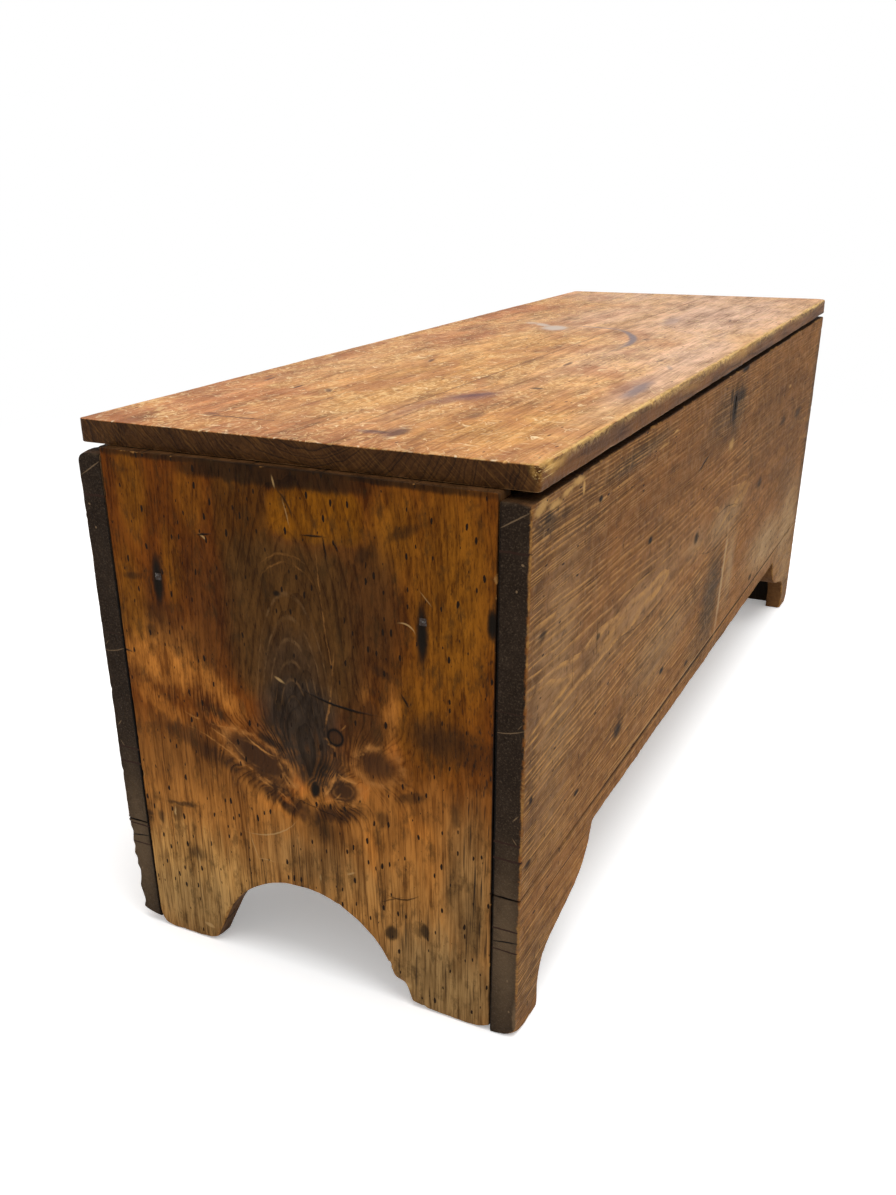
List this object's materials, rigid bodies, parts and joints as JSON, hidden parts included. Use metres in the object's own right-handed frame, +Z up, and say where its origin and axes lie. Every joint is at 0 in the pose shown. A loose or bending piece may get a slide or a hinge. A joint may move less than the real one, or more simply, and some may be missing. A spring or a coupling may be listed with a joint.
{
  "type": "blanket chest",
  "caption": "Long low plank blanket chest with a hinged plain lid, bracket-foot skirts, arched end boards and a keyed lock in the front.",
  "frame": {"origin": "on the floor, under the middle of the case's length and of the lid's depth", "axes": "+X along the chest, to the right of someone facing the front; -Y towards the front, where the keyhole is; +Z up"},
  "size_m": [1.2192, 0.412, 0.4932],
  "materials": {
    "pine_lid": "old waxed stain, worn and scratched",
    "pine_front": "old red-brown stain, raised grain",
    "pine_back": "old stain, dry",
    "pine_end": "old amber stain with knots",
    "pine_bottom": "bare, oxidised",
    "hinge_iron": "dull, lightly rusted",
    "hinge_pin_wire": "drawn wire",
    "lock_iron": "sheet iron, rust-spotted",
    "screw_steel": "old slotted screws, darkened",
    "nail_iron": "cut iron, rusted"
  },
  "bodies": {
    "chest": {"front_board": "pine_front", "front_skirt": "pine_front", "back_board": "pine_back", "back_skirt": "pine_back", "left_end_board": "pine_end", "right_end_board": "pine_end", "bottom_board": "pine_bottom", "hinge_left_case_leaf": "hinge_iron", "hinge_right_case_leaf": "hinge_iron", "hinge_left_pin": "hinge_pin_wire", "hinge_right_pin": "hinge_pin_wire", "hinge_case_screws": "screw_steel", "lock_plate": "lock_iron", "lock_cap": "lock_iron", "lock_spring": "screw_steel", "lock_key_pin": "screw_steel", "lock_screws": "screw_steel", "front_nails": "nail_iron", "front_skirt_nails": "nail_iron", "back_nails": "nail_iron", "back_skirt_nails": "nail_iron", "front_bottom_nails": "nail_iron", "back_bottom_nails": "nail_iron", "left_end_nails": "nail_iron"},
    "lid": {"lid_board": "pine_lid", "hinge_left_lid_leaf": "hinge_iron", "hinge_right_lid_leaf": "hinge_iron", "hinge_lid_screws": "screw_steel", "lock_strike": "lock_iron", "strike_screws": "screw_steel"},
    "bolt": {"lock_bolt": "lock_iron"}
  },
  "joints": [
    {"name": "lid_hinge", "type": "hinge", "parent": "chest", "child": "lid", "pos_m": [0, 0.2006, 0.47045], "axis": [-1, 0, 0], "range_deg": [0, 104]},
    {"name": "bolt_slide", "type": "slide", "parent": "chest", "child": "bolt", "axis": [1, 0, 0], "range_m": [0, 0.009]}
  ]
}
